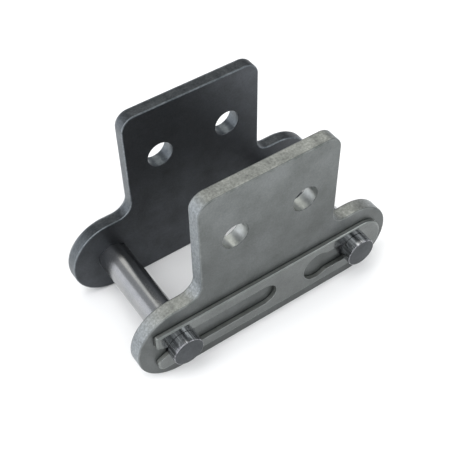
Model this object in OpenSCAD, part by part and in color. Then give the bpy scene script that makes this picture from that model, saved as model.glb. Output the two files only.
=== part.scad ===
// Chain connecting link for a double-pitch conveyor chain, with an upright two-hole tab on both plates.
// Two pins are riveted in the back plate, the cover plate slips over them, and a flat spring clip
// in the pins' grooves holds the cover plate on.
// Origin: middle of the left pin's journal. X runs along the chain to the right pin, Z up the tabs,
// and -Y is the side of the cover plate and the clip.

/* [Chain] */
// distance between the two pin axes
pitch = 38.1; // [36:0.1:44]
// clear width between the two plates
inner_gap = 20.2; // [14:0.1:26]

/* [Plates] */
// thickness of both plates
plate_t = 2.9; // [2:0.1:4]
// height of the plates' straight-edged body, which is also the width of its round ends
plate_h = 16.4; // [14:0.1:19]
// width of the upright tab
tab_w = 28; // [24:0.1:30]
// height of the tab's top edge above the pin axes
tab_top = 30.4; // [27:0.1:36]
// radius of the tab's two top corners
tab_corner_r = 2.8; // [1:0.1:4]
// radius of the hollow where the tab meets the shoulder
tab_fillet_r = 3; // [1.5:0.1:3]
// bevel that the tumbling leaves along the plates' edges
edge_c = 0.2; // [0.1:0.05:0.6]
// bevel along the back plate's outer edges, where blanking has drawn the metal in
roll_c = 0.6; // [0.1:0.05:0.8]

/* [Tab holes] */
// diameter of the two fixing holes in each tab
hole_d = 5.1; // [3.5:0.1:7]
// distance between the two holes
hole_spacing = 14.2; // [10:0.1:17]
// height of the holes above the pin axes
hole_z = 19.4; // [15:0.1:22]
// bevel at the rims of all holes
hole_c = 0.1; // [0.1:0.05:0.5]

/* [Pins] */
// diameter of the pins
pin_d = 5.94; // [5:0.02:6.4]
// radial clearance of the cover plate on the pins
slip = 0.03; // [0.02:0.01:0.08]
// diameter of the neck in which the clip sits
neck_d = 4.6; // [4:0.1:4.8]
// length of the pin's head in front of the neck
head_l = 2.15; // [1.5:0.05:3]
// bevel at the free end of the head
head_c = 0.2; // [0.2:0.05:0.8]
// diameter of the riveted end behind the back plate
rivet_d = 7; // [6.6:0.1:8]
// height of the riveted end
rivet_h = 0.9; // [0.6:0.1:1.4]
// bevel of the riveted end
rivet_c = 0.5; // [0.2:0.1:0.5]

/* [Spring clip] */
// thickness of the clip
clip_t = 0.9; // [0.7:0.05:1.2]
// width of the clip
clip_w = 9.7; // [9:0.1:11]
// play between the clip and the grooves, on each side
clip_play = 0.05; // [0.02:0.01:0.1]
// width of both slots
slot_w = 4.8; // [4.7:0.05:5]
// distance from the left pin axis to the clip's open end
mouth_l = 4.95; // [4.5:0.05:5.5]
// width of the throat that snaps over the left pin's neck
throat_w = 2.3; // [1.8:0.1:3.2]
// distance from the left pin axis to where the throat starts to flare
throat_x = 3; // [2.4:0.1:3.4]
// width of the flared mouth at the clip's end
flare_w = 4.3; // [3.4:0.1:5]
// radius of the open end's upper corner
upper_corner_r = 0.5; // [0.2:0.1:1.5]
// radius of the open end's lower corner
lower_corner_r = 1.5; // [0.2:0.1:1.8]
// distance from mid-pitch to the closed end of the left slot
left_slot_end = 1; // [0:0.1:2]
// travel that brings the right pin's head into the keyhole and frees the left pin
release = 8.55; // [8:0.05:9]
// diameter of the keyhole that passes over the pin's head
keyhole_d = 6.3; // [6.1:0.05:6.8]
// distance from the right pin axis to the tip of the closed end
nose_l = 6.35; // [5.5:0.05:7]

/* [Output] */

/* [Hidden] */
$fn = 96;
eps = 0.01;
// depth to which the corner beside the tab reaches into the tab and the shoulder
corner_sink = 1;
end_r = plate_h / 2;
mid_x = pitch / 2;
// outer face of the cover plate and of the back plate
cover_y = -inner_gap / 2 - plate_t;
back_y = inner_gap / 2 + plate_t;
pin_r = pin_d / 2;
neck_r = neck_d / 2;
slot_r = slot_w / 2;
clip_r = clip_w / 2;
// stretch of the pins' grooves
neck_y1 = cover_y + clip_play;
neck_y0 = cover_y - clip_t - clip_play;
head_y = neck_y0 - head_l;

// Colours of the finishes
cover_grey = [0.44, 0.45, 0.44];
back_dark = [0.16, 0.17, 0.18];
pin_bright = [0.68, 0.69, 0.70];

// Turns a shape drawn in X and Y, and raised in Z, so that it stands in X and Z with its foot at y
module standing(y) {
    translate([0, y, 0])
        rotate([90, 0, 0])
            children();
}

// Disc of radius r and the plate's thickness with both rims bevelled, the lower one by foot_c
module plate_disc(r, foot_c) {
    rotate_extrude()
        polygon([
            [0, 0], [r - foot_c, 0], [r, foot_c],
            [r, plate_t - edge_c], [r - edge_c, plate_t], [0, plate_t]
        ]);
}

// Bar of the plate's thickness, length l along X and width w, with its long edges bevelled,
// the lower ones by foot_c
module plate_bar(l, w, foot_c) {
    translate([-l / 2, 0, 0])
        rotate([90, 0, 90])
            linear_extrude(l)
                polygon([
                    [-w / 2 + foot_c, 0], [w / 2 - foot_c, 0],
                    [w / 2, foot_c], [w / 2, plate_t - edge_c],
                    [w / 2 - edge_c, plate_t], [-w / 2 + edge_c, plate_t],
                    [-w / 2, plate_t - edge_c], [-w / 2, foot_c]
                ]);
}

// Hole through the plate with both rims bevelled
module plate_hole(r) {
    rotate_extrude()
        polygon([
            [0, -eps], [r + hole_c + eps, -eps], [r, hole_c],
            [r, plate_t - hole_c], [r + hole_c + eps, plate_t + eps], [0, plate_t + eps]
        ]);
}

// Round cutter of the hollow beside the tab, which bevels the hollow's edges too
module hollow_cutter(foot_c) {
    r = tab_fillet_r;
    rotate_extrude()
        polygon([
            [0, -eps], [r + foot_c + eps, -eps], [r, foot_c],
            [r, plate_t - edge_c], [r + edge_c + eps, plate_t + eps], [0, plate_t + eps]
        ]);
}

// Corner between the tab and the right shoulder
module hollow_corner(foot_c) {
    side = tab_fillet_r + corner_sink;
    difference() {
        translate([tab_w / 2 - corner_sink, end_r - corner_sink, 0])
            cube([side, side, plate_t]);
        translate([tab_w / 2 + tab_fillet_r, end_r + tab_fillet_r, 0])
            hollow_cutter(foot_c);
    }
}

// Outline of both plates, centred on mid-pitch and the pin axes
module plate_body(foot_c) {
    corner_x = tab_w / 2 - tab_corner_r;
    corner_y = tab_top - tab_corner_r;
    plate_bar(pitch, plate_h, foot_c);
    for (side = [-1, 1]) {
        translate([side * mid_x, 0, 0])
            plate_disc(end_r, foot_c);
        translate([side * corner_x, corner_y, 0])
            plate_disc(tab_corner_r, foot_c);
    }
    translate([0, corner_y / 2, 0])
        rotate([0, 0, 90])
            plate_bar(corner_y, tab_w, foot_c);
    translate([0, corner_y, 0])
        plate_bar(2 * corner_x, 2 * tab_corner_r, foot_c);
    hollow_corner(foot_c);
    mirror([1, 0, 0])
        hollow_corner(foot_c);
}

// Plate with its tab holes and pin holes. The face at y = 0 has edges bevelled by foot_c, and the
// plate's thickness is towards -Y.
module plate(pin_hole_r, foot_c) {
    translate([mid_x, 0, 0])
        standing(0)
            difference() {
                plate_body(foot_c);
                for (side = [-1, 1]) {
                    translate([side * mid_x, 0, 0])
                        plate_hole(pin_hole_r);
                    translate([side * hole_spacing / 2, hole_z, 0])
                        plate_hole(hole_d / 2);
                }
            }
}

// Back plate, in which the pins are pressed and riveted
module back_plate() {
    color(back_dark)
        translate([0, back_y, 0])
            plate(pin_r, roll_c);
}

// Cover plate, which slips on and off the pins
module cover_plate() {
    color(cover_grey)
        translate([0, -inner_gap / 2, 0])
            plate(pin_r + slip, edge_c);
}

// Pin along Y: riveted end behind, plain journal, neck for the clip and bevelled head in front
module pin() {
    color(pin_bright)
        rotate([90, 0, 0])
            rotate_extrude()
                polygon([
                    [0, -back_y - rivet_h],
                    [rivet_d / 2 - rivet_c, -back_y - rivet_h],
                    [rivet_d / 2, -back_y - rivet_h + rivet_c],
                    [rivet_d / 2, -back_y],
                    [pin_r + hole_c, -back_y],
                    [pin_r, -back_y + hole_c],
                    [pin_r, -neck_y1],
                    [neck_r, -neck_y1],
                    [neck_r, -neck_y0],
                    [pin_r, -neck_y0],
                    [pin_r, -head_y - head_c],
                    [pin_r - head_c, -head_y],
                    [0, -head_y]
                ]);
}

module left_pin() {
    pin();
}

module right_pin() {
    translate([pitch, 0, 0])
        pin();
}

// Clip without its slots: rounded corners at the open end, a half round at the closed one
module clip_blank() {
    upper_r = upper_corner_r;
    lower_r = lower_corner_r;
    open_x = -mouth_l;
    nose_x = pitch + nose_l - clip_r;
    linear_extrude(clip_t)
        polygon([
            [open_x, lower_r - clip_r], [open_x, clip_r - upper_r],
            [open_x + upper_r, clip_r], [nose_x, clip_r],
            [nose_x, -clip_r], [open_x + lower_r, -clip_r]
        ]);
    translate([open_x + upper_r, clip_r - upper_r, 0])
        cylinder(clip_t, r = upper_r);
    translate([open_x + lower_r, lower_r - clip_r, 0])
        cylinder(clip_t, r = lower_r);
    translate([nose_x, 0, 0])
        cylinder(clip_t, r = clip_r);
}

// Slot with round ends from x0 to x1, measured to the centres of its ends
module clip_slot(x0, x1) {
    translate([x0, 0])
        circle(slot_r);
    translate([x1, 0])
        circle(slot_r);
    translate([x0, -slot_r])
        square([x1 - x0, slot_w]);
}

// Throat that grips the left pin's neck, and its flare, which runs just past the clip's open end
module clip_mouth() {
    slope = (flare_w - throat_w) / 2 / (mouth_l - throat_x);
    end_x = mouth_l + eps;
    end_z = flare_w / 2 + eps * slope;
    polygon([
        [0, throat_w / 2], [-throat_x, throat_w / 2], [-end_x, end_z],
        [-end_x, -end_z], [-throat_x, -throat_w / 2], [0, -throat_w / 2]
    ]);
}

// Flat clip: an open mouth and a slot for the left pin, a bridge, and a keyhole for the right pin
module spring_clip() {
    keyhole_x = pitch - release;
    color(cover_grey)
        standing(cover_y)
            difference() {
                clip_blank();
                translate([0, 0, -eps])
                    linear_extrude(clip_t + 2 * eps) {
                        clip_mouth();
                        clip_slot(0, mid_x + left_slot_end - slot_r);
                        clip_slot(keyhole_x, pitch);
                        translate([keyhole_x, 0])
                            circle(keyhole_d / 2);
                    }
            }
}

back_plate();
left_pin();
right_pin();
cover_plate();
spring_clip();
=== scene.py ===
# %% [markdown]
# # A chain connecting link, made in cells
# The link joins the two ends of a conveyor chain. Two steel pins are riveted in a blackened back
# plate, a grey cover plate slips over them, and a flat spring clip in the pins' grooves keeps the
# cover plate on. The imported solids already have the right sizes, but their edges are plain bevels.
# Here each piece is modelled again with the soft edges and the finishes of tumbled steel parts.

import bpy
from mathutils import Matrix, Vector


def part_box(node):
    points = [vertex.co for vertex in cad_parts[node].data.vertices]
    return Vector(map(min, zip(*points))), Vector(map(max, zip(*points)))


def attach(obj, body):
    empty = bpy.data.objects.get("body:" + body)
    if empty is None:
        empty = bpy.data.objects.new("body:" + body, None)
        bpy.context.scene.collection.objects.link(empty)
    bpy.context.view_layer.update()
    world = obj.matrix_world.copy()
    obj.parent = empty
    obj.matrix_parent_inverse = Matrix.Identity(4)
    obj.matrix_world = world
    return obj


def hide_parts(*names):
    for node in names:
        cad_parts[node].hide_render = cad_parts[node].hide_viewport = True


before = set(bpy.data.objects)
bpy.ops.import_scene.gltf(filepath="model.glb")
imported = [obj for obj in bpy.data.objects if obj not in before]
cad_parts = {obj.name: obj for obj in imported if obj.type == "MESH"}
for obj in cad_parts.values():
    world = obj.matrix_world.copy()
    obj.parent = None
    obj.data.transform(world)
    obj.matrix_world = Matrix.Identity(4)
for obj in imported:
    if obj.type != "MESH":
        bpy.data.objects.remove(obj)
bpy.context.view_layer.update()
print("nodes:", sorted(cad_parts))

# %% [markdown]
# ## Camera
# The picture looks down on the link at 49 degrees, from the left of its cover plate. It was taken
# from close by, so the near end looks larger than the far one. A camera can be aimed with a
# constraint, but here its place and its three angles were fitted to the outline of the real link,
# so they are set directly. The lens follows from the same fit.

# %% Make the camera
import math

import bpy
from mathutils import Quaternion, Vector

MM = 0.001
camera_place = Vector((-40.34, -89.55, 127.58)) * MM
# Angles are in radians, lens and sensor in millimetres
camera_yaw = 0.58121
camera_pitch = -0.84939
camera_roll = -0.02536
camera_lens = 70.74
sensor_width = 36
nearest_seen = 10 * MM

bpy.ops.object.select_all(action="DESELECT")
bpy.ops.object.camera_add(location=camera_place)
camera = bpy.context.active_object
ahead = Vector((
    math.sin(camera_yaw) * math.cos(camera_pitch),
    math.cos(camera_yaw) * math.cos(camera_pitch),
    math.sin(camera_pitch),
))
camera.rotation_mode = "QUATERNION"
camera.rotation_quaternion = ahead.to_track_quat("-Z", "Y") @ Quaternion((0, 0, 1), camera_roll)
camera.data.lens = camera_lens
camera.data.sensor_width = sensor_width
camera.data.clip_start = nearest_seen
bpy.context.scene.camera = camera
print("camera looks along", [round(value, 3) for value in ahead])

# %% [markdown]
# ## Colours and nodes
# Colours are written as sRGB hex values, as a colour picker shows them. Blender calculates in
# linear light, so one function turns them round. Another adds a node with its settings and links,
# which keeps the recipe of a material readable from top to bottom.

# %% Two helpers for all materials
def linear(code):
    """Colour in linear light from an sRGB hex value such as 8a8f92."""
    shares = [int(code[i:i + 2], 16) / 255 for i in (0, 2, 4)]
    turned = [s / 12.92 if s <= 0.04045 else ((s + 0.055) / 1.055) ** 2.4 for s in shares]
    return (*turned, 1.0)


def add_node(tree, kind, inputs=None, **settings):
    """Adds a node. Each input is given a value, or the socket that feeds it."""
    node = tree.nodes.new(kind)
    for name, value in settings.items():
        setattr(node, name, value)
    for name, value in (inputs or {}).items():
        if isinstance(value, bpy.types.NodeSocket):
            tree.links.new(value, node.inputs[name])
        else:
            node.inputs[name].default_value = value
    return node


print("mid grey in linear light:", round(linear("808080")[0], 3))

# %% [markdown]
# ## Floor
# The link stands on matt white paper. Paper has no gloss, so it shows only the link's soft shadow,
# and a plane with a rough shader and no specular part is all it needs.

# %% White paper under the link
floor_width = 4000 * MM
# Lowest and highest corner of the cover plate, which stands on the paper
cover_low, cover_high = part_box("cover_plate")
floor_z = cover_low.z

bpy.ops.object.select_all(action="DESELECT")
bpy.ops.mesh.primitive_plane_add(size=floor_width, location=(0, 0, floor_z))
floor = bpy.context.active_object
floor.name = "white_paper_floor"
paper = bpy.data.materials.new("matt_white_paper")
paper.use_nodes = True
paper_shader = paper.node_tree.nodes["Principled BSDF"]
paper_shader.inputs["Base Color"].default_value = linear("f5f5f5")
paper_shader.inputs["Roughness"].default_value = 1.0
paper_shader.inputs["Specular IOR Level"].default_value = 0.0
floor.data.materials.append(paper)
print("floor at", round(floor_z * 1000, 2), "mm")

# %% [markdown]
# ## Light
# The link is lit in a light tent: white cloth panels on all sides and darker gaps between them.
# Polished pins need both, because what shows on them is only a mirror image of the tent. A picture
# of a room could be the light too, but area lights can be moved one by one until each stripe on a
# pin has its place. They stand for the panels, and an even grey world stands for the gaps. Two
# narrow strips at the front draw the glints on the rims of the pin heads, and the panel over the
# ridge of the tent lights the paper between the plates.

# %% Grey gaps of the light tent
gap_strength = 0.55

bpy.context.scene.view_settings.view_transform = "Standard"
tent = bpy.data.worlds.new("light_tent")
bpy.context.scene.world = tent
tent.use_nodes = True
tent_light = tent.node_tree.nodes["Background"]
tent_light.inputs["Color"].default_value = linear("f4f7fb")
tent_light.inputs["Strength"].default_value = gap_strength
print("light of the gaps:", gap_strength)

# %% Panels of the light tent
tent_middle = Vector((19, 0, 10)) * MM


def add_panel(name, toward, distance, width, height, radiance, tint="ffffff"):
    """Panel that faces the link from a direction. A radiance of 1 shows as pure white."""
    place = tent_middle + Vector(toward).normalized() * distance
    bpy.ops.object.select_all(action="DESELECT")
    bpy.ops.object.light_add(type="AREA", location=place)
    panel = bpy.context.active_object
    panel.name = name
    panel.rotation_mode = "QUATERNION"
    panel.rotation_quaternion = (place - tent_middle).to_track_quat("Z", "Y")
    panel.data.shape = "RECTANGLE"
    panel.data.size = width
    panel.data.size_y = height
    # A square metre of an area light gives off pi times its radiance
    panel.data.energy = radiance * math.pi * width * height
    panel.data.color = linear(tint)[:3]
    panel.visible_camera = False
    return panel


# Name, direction from the link, then distance, width and height in metres, radiance and tint
add_panel("panel_above", (0.15, 0.45, 0.9), 0.6, 0.36, 0.36, 0.85, "fffdf2")
add_panel("panel_ridge", (-0.45, 0.0, 0.88), 0.6, 0.3, 0.7, 3.4)
add_panel("panel_top", (-0.25, -0.4, 0.9), 0.7, 0.6, 0.4, 1.2)
add_panel("panel_left", (-0.8, 0.35, 0.22), 0.6, 0.6, 0.42, 1.05, "f4f5fa")
add_panel("panel_front", (-0.05, -0.8, 0.5), 0.6, 0.8, 0.45, 0.7)
add_panel("strip_front_left", (-0.7, -0.66, 0.2), 0.6, 0.09, 0.3, 6.0)
add_panel("strip_front_right", (0.58, -0.64, 0.48), 0.6, 0.09, 0.3, 6.0)
add_panel("panel_behind_right", (0.52, 0.44, 0.74), 0.6, 0.24, 0.24, 1.1, "fffdf2")
add_panel("panel_right", (0.75, -0.5, 0.42), 0.6, 0.3, 0.3, 2.0)

# %% [markdown]
# ## Steel
# Chain plates are blanked from strip, hardened and tumbled with stones. That leaves a dull grey
# face with soft clouds, a fine grain and slightly varying gloss. All steel finishes of the link
# share this build-up and differ in colour, gloss and the size of their grain, so one function
# makes them. Photographed textures would need an unwrapped mesh, while noise nodes run through the
# metal and fit any shape. They give clouds and grain, with sizes in millimetres. The clouds also
# steer the gloss, and the grain also gives a slight relief. The real grain is finer than the
# picture can show, so it is drawn 0.25 to 0.5 mm wide.
#
# Steel is a metal, so Metallic is 1 and the IOR keeps its default. Roughness starts at about 0.4
# for tumbled steel and at 0.2 for ground or rolled steel, and was then matched to the link.

# %% Two kinds of painted light on a plate
# Shares of the normal along X at which painted light on faces looking along the chain begins and is
# full
side_light_start = 0.3
side_light_full = 0.95
# Heights over the pins from which painted light begins to lighten a plate, and lightens it fully
top_light_start_z = cover_high.z / 2
top_light_full_z = cover_high.z


def painted_side_light(tree, normal, colour, side_lit_colour):
    """Painted light: colour that turns to a lighter one where the surface looks along the chain."""
    facing = add_node(tree, "ShaderNodeSeparateXYZ", {"Vector": normal}).outputs["X"]
    sideways = add_node(tree, "ShaderNodeMath", {0: facing}, operation="ABSOLUTE").outputs["Value"]
    share = add_node(tree, "ShaderNodeMapRange", {
        "Value": sideways, "From Min": side_light_start, "From Max": side_light_full,
    }).outputs["Result"]
    # Sockets 0, 6 and 7 are the share and the two colours, and output 2 is the mixed colour
    return add_node(tree, "ShaderNodeMix", {
        0: share, 6: colour, 7: linear(side_lit_colour),
    }, data_type="RGBA").outputs[2]


def painted_lighter(tree, seat, top):
    """Painted light: factor that grows from 1 to top towards the top of a plate's tab."""
    height = add_node(tree, "ShaderNodeSeparateXYZ", {"Vector": seat}).outputs["Z"]
    return add_node(tree, "ShaderNodeMapRange", {
        "Value": height, "From Min": top_light_start_z, "From Max": top_light_full_z,
        "To Min": 1.0, "To Max": top,
    }).outputs["Result"]


print("plates get cleaner from", round(top_light_start_z * 1000, 1), "mm up")

# %% Steel with clouds and grain
# Noise seldom leaves these ranges, so they are stretched to the full one
cloud_from = 0.3
cloud_to = 0.7
grain_from = 0.25
grain_to = 0.75
gloss_drift = 0.1
noise_roughness = 0.6
# Finer layers of noise on top of the first one
cloud_detail = 3.0
grain_detail = 2.0


def steel(name, light, dark, roughness, cloud=5.0, grain=0.35, contrast=0.12, relief=0.004,
          along=1.0, top=1.0, side=None):
    """Steel whose colour and gloss drift in clouds, with a grain. Sizes are in mm.

    A small value of along draws the pattern out along Y. Top says how much lighter painted light
    makes the steel at the top of a plate's tab, and side is the colour that painted light gives it
    where it looks along the chain.
    """
    material = bpy.data.materials.new(name)
    material.use_nodes = True
    tree = material.node_tree
    shader = tree.nodes["Principled BSDF"]
    shader.inputs["Metallic"].default_value = 1.0
    source = add_node(tree, "ShaderNodeTexCoord").outputs
    place = add_node(tree, "ShaderNodeMapping", {
        "Vector": source["Object"], "Scale": (1.0, along, 1.0),
    }).outputs["Vector"]
    clouds = add_node(tree, "ShaderNodeTexNoise", {
        "Vector": place, "Scale": 1 / (cloud * MM), "Detail": cloud_detail,
        "Roughness": noise_roughness,
    }).outputs["Fac"]
    grains = add_node(tree, "ShaderNodeTexNoise", {
        "Vector": place, "Scale": 1 / (grain * MM), "Detail": grain_detail,
        "Roughness": noise_roughness,
    }).outputs["Fac"]
    share = add_node(tree, "ShaderNodeMapRange", {
        "Value": clouds, "From Min": cloud_from, "From Max": cloud_to,
    }).outputs["Result"]
    drift = add_node(tree, "ShaderNodeMix", {
        0: share, 6: linear(dark), 7: linear(light),
    }, data_type="RGBA").outputs[2]
    # Painted light makes the colour lighter where the surface looks along the chain
    if side:
        drift = painted_side_light(tree, source["Normal"], drift, side)
    speck = add_node(tree, "ShaderNodeMapRange", {
        "Value": grains, "From Min": grain_from, "From Max": grain_to,
        "To Min": 1 - contrast, "To Max": 1 + contrast,
    }).outputs["Result"]
    # Painted light makes the colour lighter towards the top of a plate's tab
    factor = add_node(tree, "ShaderNodeMath", {
        0: speck, 1: painted_lighter(tree, source["Object"], top),
    }, operation="MULTIPLY").outputs["Value"]
    colour = add_node(tree, "ShaderNodeVectorMath", {
        0: drift, 1: factor,
    }, operation="MULTIPLY").outputs["Vector"]
    gloss = add_node(tree, "ShaderNodeMapRange", {
        "Value": clouds, "From Min": cloud_from, "From Max": cloud_to,
        "To Min": roughness * (1 + gloss_drift), "To Max": roughness * (1 - gloss_drift),
    }).outputs["Result"]
    bump = add_node(tree, "ShaderNodeBump", {"Height": grains, "Distance": relief * MM})
    tree.links.new(colour, shader.inputs["Base Color"])
    tree.links.new(gloss, shader.inputs["Roughness"])
    tree.links.new(bump.outputs["Normal"], shader.inputs["Normal"])
    return material


print("a cloud of 5 mm is noise at scale", round(1 / (5 * MM)))

# %% [markdown]
# ## Picking by place
# In a window one clicks on faces and edges. Here a small function picks them by their place or
# their normal, which still works after a size is changed. Another makes one piece active, because
# an operator acts on all that is selected.

# %% Helpers for selecting
import bmesh

NEAR = 0.01 * MM


def only(piece, mode="OBJECT"):
    """Makes this the only selected piece, in object or edit mode."""
    if bpy.context.mode != "OBJECT":
        bpy.ops.object.mode_set(mode="OBJECT")
    bpy.ops.object.select_all(action="DESELECT")
    piece.select_set(True)
    bpy.context.view_layer.objects.active = piece
    bpy.ops.object.mode_set(mode=mode)


def pick(piece, kind, wanted):
    """Selects the vertices, edges or faces for which wanted(middle, normal) is true."""
    bpy.ops.mesh.select_mode(type=kind)
    bpy.ops.mesh.select_all(action="DESELECT")
    shape = bmesh.from_edit_mesh(piece.data)
    parts = {"VERT": shape.verts, "EDGE": shape.edges, "FACE": shape.faces}[kind]
    for part in parts:
        corners = [part] if kind == "VERT" else part.verts
        middle = sum((corner.co for corner in corners), Vector()) / len(corners)
        normal = None if kind == "EDGE" else part.normal
        if wanted(middle, normal):
            part.select_set(True)
    shape.select_flush_mode()
    bmesh.update_edit_mesh(piece.data)


print("places count as the same within", round(NEAR * 1000, 3), "mm")

# %% [markdown]
# ## Flat outlines
# Plates and clip are cut from sheet, so each starts as its outline: one flat face, whose corners
# are rounded while it is still flat, and which is then raised to the thickness of the sheet. A
# solid block could be bevelled instead, but a flat corner takes any radius and stays clean.

# %% Helpers for sheet
WELD = 0.001 * MM


def flat_sheet(name, x0, x1, z0, z1, y):
    """Rectangle that stands in X and Z at y, left in edit mode."""
    middle = ((x0 + x1) / 2, y, (z0 + z1) / 2)
    bpy.ops.object.select_all(action="DESELECT")
    bpy.ops.mesh.primitive_plane_add(size=1, location=middle, rotation=(math.pi / 2, 0, 0))
    sheet = bpy.context.active_object
    sheet.name = name
    bpy.ops.object.transform_apply()
    only(sheet, "EDIT")
    bpy.ops.mesh.select_all(action="SELECT")
    bpy.ops.transform.resize(value=(x1 - x0, 1, z1 - z0), center_override=middle)
    return sheet


def draw_out(x=0.0, z=0.0):
    """Extrudes the selected edges of a flat outline by this much."""
    bpy.ops.mesh.extrude_edges_move(TRANSFORM_OT_translate={"value": (x, 0, z)})


def round_corners(sheet, corners, radius, steps):
    """Rounds the corners of a flat outline, given as (x, z) places."""
    pick(sheet, "VERT", lambda at, normal: any(
        abs(at.x - x) < NEAR and abs(at.z - z) < NEAR for x, z in corners))
    bpy.ops.mesh.bevel(offset=radius, offset_type="OFFSET", segments=steps,
                       affect="VERTICES", profile=0.5)
    bpy.ops.mesh.select_all(action="SELECT")
    bpy.ops.mesh.remove_doubles(threshold=WELD)


def push(y=0.0):
    """Extrudes the selected faces by this much along Y."""
    bpy.ops.mesh.extrude_region_move(TRANSFORM_OT_translate={"value": (0, y, 0)})


def thicken(sheet, depth):
    """Raises a flat outline along +Y to a closed solid, and leaves edit mode."""
    bpy.ops.mesh.select_all(action="SELECT")
    push(depth)
    bpy.ops.mesh.select_all(action="SELECT")
    bpy.ops.mesh.normals_make_consistent(inside=False)
    bpy.ops.object.mode_set(mode="OBJECT")


print("corners of an outline are welded within", round(WELD * 1000, 4), "mm")

# %% [markdown]
# ## Holes and rims
# Holes are cut with a Boolean modifier, as a drill would, and each cut leaves a sharp rim. A rim
# is found as the ring of edges at its radius, and gets its own small bevel.

# %% Helpers for holes
bore_sides = 96
drill_depth = 12 * MM


def cut(piece, cutter):
    """Takes the cutter's shape out of the piece."""
    only(piece)
    saw = piece.modifiers.new("cut", "BOOLEAN")
    saw.operation = "DIFFERENCE"
    saw.solver = "EXACT"
    saw.object = cutter
    bpy.ops.object.modifier_apply(modifier=saw.name)
    bpy.data.objects.remove(cutter)


def drill(piece, x, y, z, radius):
    """Drills a round hole along Y."""
    bpy.ops.object.select_all(action="DESELECT")
    bpy.ops.mesh.primitive_cylinder_add(
        vertices=bore_sides, radius=radius, depth=drill_depth, location=(x, y, z),
        rotation=(math.pi / 2, 0, 0))
    drill_bit = bpy.context.active_object
    bpy.ops.object.transform_apply()
    cut(piece, drill_bit)


def round_ring(piece, x, y, z, radius, width, steps):
    """Rounds the sharp rim of a round hole or a round end, whose axis lies along Y."""
    only(piece, "EDIT")
    pick(piece, "EDGE", lambda at, normal: abs(at.y - y) < NEAR
         and abs(math.hypot(at.x - x, at.z - z) - radius) < NEAR)
    bpy.ops.mesh.bevel(offset=width, offset_type="OFFSET", segments=steps, affect="EDGES")
    bpy.ops.object.mode_set(mode="OBJECT")


def round_outline(piece, y, radius, steps):
    """Rounds all edges that lie in one face of a raised outline."""
    only(piece, "EDIT")
    pick(piece, "EDGE", lambda at, normal: abs(at.y - y) < NEAR)
    bpy.ops.mesh.bevel(offset=radius, offset_type="OFFSET", segments=steps, affect="EDGES")
    bpy.ops.object.mode_set(mode="OBJECT")


print("a round hole has", bore_sides, "sides")

# %% [markdown]
# ## Shading and finishes
# On a tumbled edge the light runs round softly, while the face beside it stays flat. Smooth
# shading alone would bend the light on the face too, so a Weighted Normal modifier lets the large
# faces decide. Then each face of the mesh is given its finish by its place and its normal.

# %% Helpers for finishing
soft_angle = math.radians(35)
# At 50 all faces count by their area alone, and at 100 large faces count the most
face_weight = 100


def resize(piece, factor):
    """Makes the mesh of a piece larger or smaller about the origin."""
    piece.scale = (factor, factor, factor)
    bpy.ops.object.transform_apply()


def smooth(piece):
    """Smooth shading on the roundings, flat shading on the faces between them.

    The modifier takes faces of less than a square millimetre for equally large, so the piece is
    given a metre for each millimetre while it works.
    """
    only(piece)
    bpy.ops.object.shade_smooth_by_angle(angle=soft_angle)
    resize(piece, 1 / MM)
    flats = piece.modifiers.new("flats", "WEIGHTED_NORMAL")
    flats.weight = face_weight
    flats.keep_sharp = True
    bpy.ops.object.modifier_apply(modifier=flats.name)
    resize(piece, MM)


def dress(piece, finishes, choose):
    """Gives the piece its finishes. choose(middle, normal) says which of them a face has."""
    for finish in finishes:
        piece.data.materials.append(finish)
    for face in piece.data.polygons:
        face.material_index = choose(face.center, face.normal)


def stand_for(piece, node, body):
    """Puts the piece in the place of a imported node."""
    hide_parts(node)
    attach(piece, body)
    print(piece.name, len(piece.data.polygons), "faces",
          [round(value * 1000, 2) for value in piece.dimensions])


print("shading stays sharp above", round(math.degrees(soft_angle)), "degrees")

# %% [markdown]
# ## Plates
# Both plates are blanked from the same outline: a bar with round ends and an upright tab. The bar
# starts as its middle piece, its ends and the tab are extruded from the edges, and the corners are
# rounded. After it is raised, the edges are rounded too: the punch has rolled the far edge of the
# back plate over a wide radius, and all other edges are only tumbled. What a packed box gives is
# read from it, and the other sizes are written out in millimetres.

# %% Sizes of the plates
pitch = 38.1 * MM
left_x = 0.0
right_x = left_x + pitch
mid_x = left_x + pitch / 2
plate_t = cover_high.y - cover_low.y
end_r = -cover_low.z
tab_top = cover_high.z
tab_half = 14 * MM
tab_corner_r = 2.8 * MM
tab_fillet_r = 3.0 * MM
tab_hole_x = 7.1 * MM
tab_hole_z = 19.4 * MM
tab_hole_r = 2.55 * MM
pin_r = 2.97 * MM
slip = 0.03 * MM
edge_r = 0.25 * MM
rolled_edge_r = 0.85 * MM
rim_r = 0.1 * MM
print("plate", round(plate_t * 1000, 2), "mm thick, tab top at", round(tab_top * 1000, 2))

# %% Model a plate
end_steps = 32
corner_steps = 12
edge_steps = 3
roll_steps = 5
# Edges that bend by less than this, in radians, are one line
straight = 0.01


def plate_outline(name, y):
    """Outline of a plate as one flat face at y."""
    plate = flat_sheet(name, mid_x - tab_half, mid_x + tab_half, -end_r, end_r, y)
    reach = cover_high.x - mid_x - tab_half
    for side in (-1, 1):
        pick(plate, "EDGE", lambda at, normal: abs(at.x - mid_x - side * tab_half) < NEAR)
        draw_out(x=side * reach)
    pick(plate, "EDGE", lambda at, normal: abs(at.x - mid_x) < NEAR and abs(at.z - end_r) < NEAR)
    draw_out(z=tab_top - end_r)
    bpy.ops.mesh.select_all(action="SELECT")
    bpy.ops.mesh.dissolve_limited(angle_limit=straight)
    tab_sides = (mid_x - tab_half, mid_x + tab_half)
    ends = [(x, z) for x in (cover_low.x, cover_high.x) for z in (-end_r, end_r)]
    round_corners(plate, ends, end_r, end_steps)
    round_corners(plate, [(x, tab_top) for x in tab_sides], tab_corner_r, corner_steps)
    round_corners(plate, [(x, end_r) for x in tab_sides], tab_fillet_r, corner_steps)
    return plate


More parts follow.
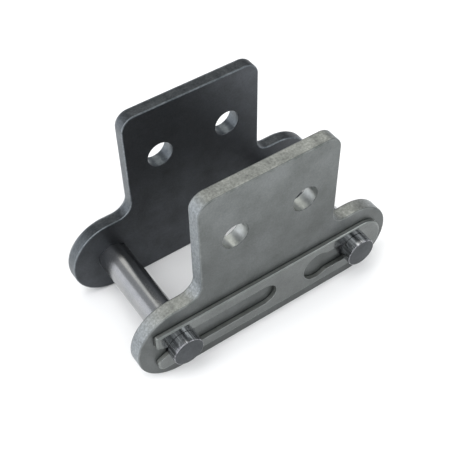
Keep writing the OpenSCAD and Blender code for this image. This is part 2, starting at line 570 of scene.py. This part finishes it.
def make_plate(name, y, pin_hole_r, far_edge_r):
    """Plate whose near face lies at y, with its far edges rounded by far_edge_r."""
    plate = plate_outline(name, y)
    thicken(plate, plate_t)
    round_outline(plate, y, edge_r, edge_steps)
    round_outline(plate, y + plate_t, far_edge_r, roll_steps)
    for side in (-1, 1):
        for x, z, radius in ((mid_x + side * tab_hole_x, tab_hole_z, tab_hole_r),
                             (mid_x + side * pitch / 2, 0, pin_hole_r)):
            drill(plate, x, y, z, radius)
            for rim_y in (y, y + plate_t):
                round_ring(plate, x, rim_y, z, radius, rim_r, edge_steps)
    smooth(plate)
    return plate


print("a round end of", round(end_r * 1000, 2), "mm has", 2 * end_steps, "steps")

# %% Tell the parts of a plate
FACE, WALL, ROUND, BORE = range(4)
# How much of a normal lies along Y on a flat face, and how little on an upright wall
flat_share = 0.99
wall_share = 0.05


def sheet_part(middle, normal):
    """FACE, WALL or ROUND on a piece cut from sheet, and BORE inside the holes of a tab."""
    from_bores = [math.hypot(middle.x - mid_x - side * tab_hole_x, middle.z - tab_hole_z)
                  for side in (-1, 1)]
    by_bore = min(from_bores) < tab_hole_r + rim_r
    if abs(normal.y) > flat_share or by_bore and abs(normal.y) > wall_share:
        return FACE
    if by_bore:
        return BORE
    return ROUND if abs(normal.y) > wall_share else WALL


print("finishes of a plate:", BORE + 1)

# %% [markdown]
# ### Cover plate
# The cover plate is plain carbon steel. Its faces keep the grey skin of the strip, its edges are
# bare metal where the punch sheared and tore it, and the tumbling has rubbed the corner between
# the two. So face, wall, corner and bore have a finish each. Painted light makes the face lighter
# near the top of the tab, and edge and corner lighter where they look along the chain.

# %% Cover plate
cover_finishes = [
    # Dull grey with soft clouds, and painted light lightens it near the top of the tab
    steel("tumbled_carbon_steel_face_painted_top_light", "636666", "575a59", roughness=0.38, top=1.42),
    # Bare and speckled: light dots where the punch tore the steel, hardly any gloss
    # Painted light makes it lighter where it looks along the chain
    steel("blanked_carbon_steel_edge_painted_side_light", "9b9d99", "797b78", roughness=0.5, cloud=2.5,
          grain=0.4, contrast=0.32, relief=0.02, side="8f9497"),
    # A soft step from the light edge to the dark face
    # Painted light makes it lighter where it looks along the chain
    steel("rubbed_carbon_steel_corner_painted_side_light", "7c7f7e", "5b5f5d", roughness=0.5, cloud=2.5,
          side="7f8385"),
    # Smooth and light inside the tab's holes, with a band of light across
    steel("punched_carbon_steel_bore", "adb0ae", "979a98", roughness=0.36, cloud=2.0,
          grain=0.4, contrast=0.1),
]
cover_plate = make_plate("cover_plate_dressed", cover_low.y, pin_r + slip, edge_r)
dress(cover_plate, cover_finishes, sheet_part)
stand_for(cover_plate, "cover_plate", "cover")

# %% [markdown]
# ### Back plate
# The back plate is cut from the same strip, and hardening has left a black oxide on it. The oxide
# is thin, so it takes over the dull gloss of the steel below. It is worn to a grey line along the
# rolled edge, where the plate is rubbed most. Painted light makes its edges grey where they look
# along the chain, and its face lighter near the top of the tab.

# %% Back plate
back_finishes = [
    # Nearly black with a blue cast and a weak sheen, from the oxide of hardening
    # Painted light makes it lighter near the top of the tab
    steel("blackened_carbon_steel_face_painted_top_light", "4e5155", "424447", roughness=0.42, top=1.2),
    # As dark as the face, with a coarser grain, and painted light greys it where it looks along the
    # chain
    steel("blackened_carbon_steel_edge_painted_side_light", "4e5154", "383b3e", roughness=0.45, cloud=2.0,
          grain=0.4, contrast=0.3, side="656a6e"),
    # A lighter, glossier line along the rolled edge
    # Painted light makes it lighter where it looks along the chain
    steel("rubbed_blackened_steel_corner_painted_side_light", "6d7276", "4a4f53", roughness=0.35, cloud=2.0,
          grain=0.4, contrast=0.3, side="7c8185"),
    # Dark bore with a soft band of light
    steel("punched_blackened_steel_bore", "6e7377", "575c60", roughness=0.3, cloud=1.0,
          grain=0.4),
]
back_low, back_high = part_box("back_plate")
back_plate = make_plate("back_plate_dressed", back_low.y, pin_r, rolled_edge_r)
dress(back_plate, back_finishes, sheet_part)
stand_for(back_plate, "back_plate", "pin_plate")

# %% [markdown]
# ## Pins
# The pins are ground rods. A groove near the front end takes the clip, the front end is cropped
# and its rim rubbed, and the back end is riveted over the back plate. A lathe profile could be
# spun round the axis, but a cylinder is a good start too: groove, head and rivet come from its end
# faces by inset, extrude and scale.

# %% Model a pin
pin_low, pin_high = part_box("left_pin")
pin_sides = 128
neck_r = 2.3 * MM
neck_start = cover_low.y + 0.05 * MM
neck_end = cover_low.y - 0.95 * MM
rivet_r = pin_high.x
head_bevel = 0.15 * MM
rivet_bevel = 0.5 * MM
groove_bevel = 0.03 * MM
head_steps = 3
rivet_steps = 4
groove_steps = 2


def widen(share, x, y):
    """Scales the selected faces about the pin's axis."""
    bpy.ops.transform.resize(value=(share, 1, share), center_override=(x, y, 0))


def make_pin(name, x):
    """Pin along Y at x."""
    bpy.ops.object.select_all(action="DESELECT")
    bpy.ops.mesh.primitive_cylinder_add(
        vertices=pin_sides, radius=pin_r, depth=back_high.y - neck_start,
        location=(x, (back_high.y + neck_start) / 2, 0), rotation=(math.pi / 2, 0, 0))
    pin = bpy.context.active_object
    pin.name = name
    bpy.ops.object.transform_apply()
    only(pin, "EDIT")
    pick(pin, "FACE", lambda at, normal: normal.y < -flat_share)
    bpy.ops.mesh.inset(thickness=pin_r - neck_r)
    push(neck_end - neck_start)
    # A push by nothing leaves a new ring of edges in place, to be widened to a step
    push()
    widen(pin_r / neck_r, x, neck_end)
    push(pin_low.y - neck_end)
    pick(pin, "FACE", lambda at, normal: normal.y > flat_share and at.y > back_high.y - NEAR)
    push()
    widen(rivet_r / pin_r, x, back_high.y)
    push(pin_high.y - back_high.y)
    round_ring(pin, x, pin_low.y, 0, pin_r, head_bevel, head_steps)
    round_ring(pin, x, pin_high.y, 0, rivet_r, rivet_bevel, rivet_steps)
    for rim_y in (neck_end, neck_start):
        round_ring(pin, x, rim_y, 0, pin_r, groove_bevel, groove_steps)
    smooth(pin)
    return pin


print("pin", round((pin_high.y - pin_low.y) * 1000, 2), "mm long")

# %% [markdown]
# ### Finishes of the pins
# The shank is ground and mirrors the light tent in soft stripes. The side of the head was turned,
# and the tool has left streaks along it, so there the noise is drawn out along the pin. The light
# and dark of these streaks are a painted reflection of stripes of light. The ends were cropped and
# stay dull, and the bright patches round their rims are painted glints.

# %% Both pins
SHANK, HEAD, END, RIM = range(4)
pin_finishes = [
    # Bright and even, with soft stripes of light along the shank
    steel("ground_steel_pin", "9f9fa0", "939597", roughness=0.24, cloud=4.0, grain=0.5,
          contrast=0.03, relief=0.0005),
    # Streaks along the head from the tool, their light and dark a painted reflection
    steel("turned_steel_pin_head_painted_reflection", "ced0d4", "48494d", roughness=0.16, cloud=0.5, grain=0.25,
          contrast=0.4, relief=0.002, along=0.04),
    # Dark grey, dull and slightly mottled
    steel("cropped_steel_pin_end", "484b4e", "3c3f42", roughness=0.4, cloud=3.0, grain=0.25,
          contrast=0.16),
    # Painted glints that break off and start again round the rim and on the rivet
    steel("steel_pin_rim_painted_glints", "9c9da1", "2f3034", roughness=0.22, cloud=0.5, grain=0.25,
          contrast=0.2, relief=0.0, along=0.04),
]


def pin_part(middle, normal):
    """SHANK, the side of the HEAD, an END face, or the RIM of the head and the whole rivet."""
    if abs(normal.y) > flat_share:
        return END
    if middle.y < pin_low.y + head_bevel - NEAR or middle.y > back_high.y:
        return RIM
    return HEAD if middle.y < neck_end else SHANK


for node, x in (("left_pin", left_x), ("right_pin", right_x)):
    pin = make_pin(node + "_dressed", x)
    dress(pin, pin_finishes, pin_part)
    stand_for(pin, node, "pin_plate")

# %% [markdown]
# ## Spring clip
# The clip is stamped from thin spring steel. Its open end snaps over the left pin's groove, and
# the slot behind it lets its two legs spread. The keyhole lets the right pin's head through when
# the clip is put on. It is drawn as the plates are, with two round-ended cutters for the slots and
# one for the mouth. Its outer edge is rounded before they are cut, so that it is softer than the
# edges of the slots. A Bevel modifier then rounds those, as it finds sharp edges by their angle.

# %% Sizes of the clip
clip_low, clip_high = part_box("spring_clip")
clip_t = clip_high.y - clip_low.y
clip_half = clip_high.z
tip_upper_r = 0.5 * MM
tip_lower_r = 1.5 * MM
slot_half = 2.4 * MM
left_slot_end = mid_x + 1.0 * MM
keyhole_x = 29.55 * MM
keyhole_r = 3.15 * MM
throat_x = -3.0 * MM
throat_half = 1.15 * MM
flare_half = 2.15 * MM
clip_edge_r = 0.12 * MM
clip_outer_r = 0.38 * MM
print("clip", round(clip_t * 1000, 2), "mm thick and", round(clip_half * 2000, 2), "mm high")

# %% Cutters for slots and mouth
cutter_y = clip_low.y - clip_t
cutter_t = 3 * clip_t
slot_steps = 24
# The mouth's cutter is longer than the flare by this factor, to reach past the open end
overshoot = 1.02


def slot_cutter(x0, x1):
    """Cutter for a slot whose round ends reach x0 and x1."""
    cutter = flat_sheet("slot_cutter", x0, x1, -slot_half, slot_half, cutter_y)
    corners = [(x, z) for x in (x0, x1) for z in (-slot_half, slot_half)]
    round_corners(cutter, corners, slot_half, slot_steps)
    thicken(cutter, cutter_t)
    return cutter


def mouth_cutter():
    """Cutter for the throat and the flare in front of it."""
    cutter = flat_sheet("mouth_cutter", throat_x, 0, -throat_half, throat_half, cutter_y)
    pick(cutter, "EDGE", lambda at, normal: abs(at.x - throat_x) < NEAR)
    draw_out(x=(clip_low.x - throat_x) * overshoot)
    bpy.ops.transform.resize(value=(1, 1, flare_half / throat_half),
                             center_override=(clip_low.x, clip_low.y, 0))
    thicken(cutter, cutter_t)
    return cutter


print("cutters are", round(cutter_t * 1000, 2), "mm thick")

# %% Model the clip
tip_upper_steps = 6
tip_lower_steps = 10
sharp_angle = math.radians(40)


def round_edges(piece, radius, steps):
    """Rounds all sharp edges of a piece."""
    only(piece)
    rounding = piece.modifiers.new("rounding", "BEVEL")
    rounding.width = radius
    rounding.segments = steps
    rounding.limit_method = "ANGLE"
    rounding.angle_limit = sharp_angle
    rounding.use_clamp_overlap = False
    bpy.ops.object.modifier_apply(modifier=rounding.name)


clip = flat_sheet("spring_clip_dressed", clip_low.x, clip_high.x, -clip_half, clip_half,
                  clip_low.y)
round_corners(clip, [(clip_high.x, -clip_half), (clip_high.x, clip_half)], clip_half, end_steps)
round_corners(clip, [(clip_low.x, clip_half)], tip_upper_r, tip_upper_steps)
round_corners(clip, [(clip_low.x, -clip_half)], tip_lower_r, tip_lower_steps)
thicken(clip, clip_t)
round_outline(clip, clip_low.y, clip_outer_r, roll_steps)
cut(clip, slot_cutter(-slot_half, left_slot_end))
cut(clip, slot_cutter(keyhole_x - slot_half, right_x + slot_half))
cut(clip, mouth_cutter())
drill(clip, keyhole_x, clip_low.y, 0, keyhole_r)
round_edges(clip, clip_edge_r, edge_steps)
smooth(clip)
print("clip has", len(clip.data.polygons), "faces")

# %% [markdown]
# ### Finishes of the clip
# Spring steel strip is cold rolled, so its face is smoother than a plate's and nearly mirrors the
# pin heads. The sheared edge is duller, and a fine line of light runs round the rubbed corner.

# %% Dress the clip
clip_finishes = [
    # Smooth rolled strip in which the pin heads are mirrored
    steel("spring_steel_strip", "6e7170", "626564", roughness=0.16),
    # Duller and a little lighter than the face
    steel("sheared_spring_steel_edge", "9d9f9c", "858784", roughness=0.45, cloud=2.5,
          grain=0.4),
    # A fine light line round the clip
    steel("rubbed_spring_steel_corner", "7c807e", "6d716f", roughness=0.3),
]
dress(clip, clip_finishes, sheet_part)
stand_for(clip, "spring_clip", "clip")

# %% [markdown]
# ## Last update
# The view layer is brought up to date once more. The visual model has to fill the same
# box as the solids.

bpy.context.view_layer.update()
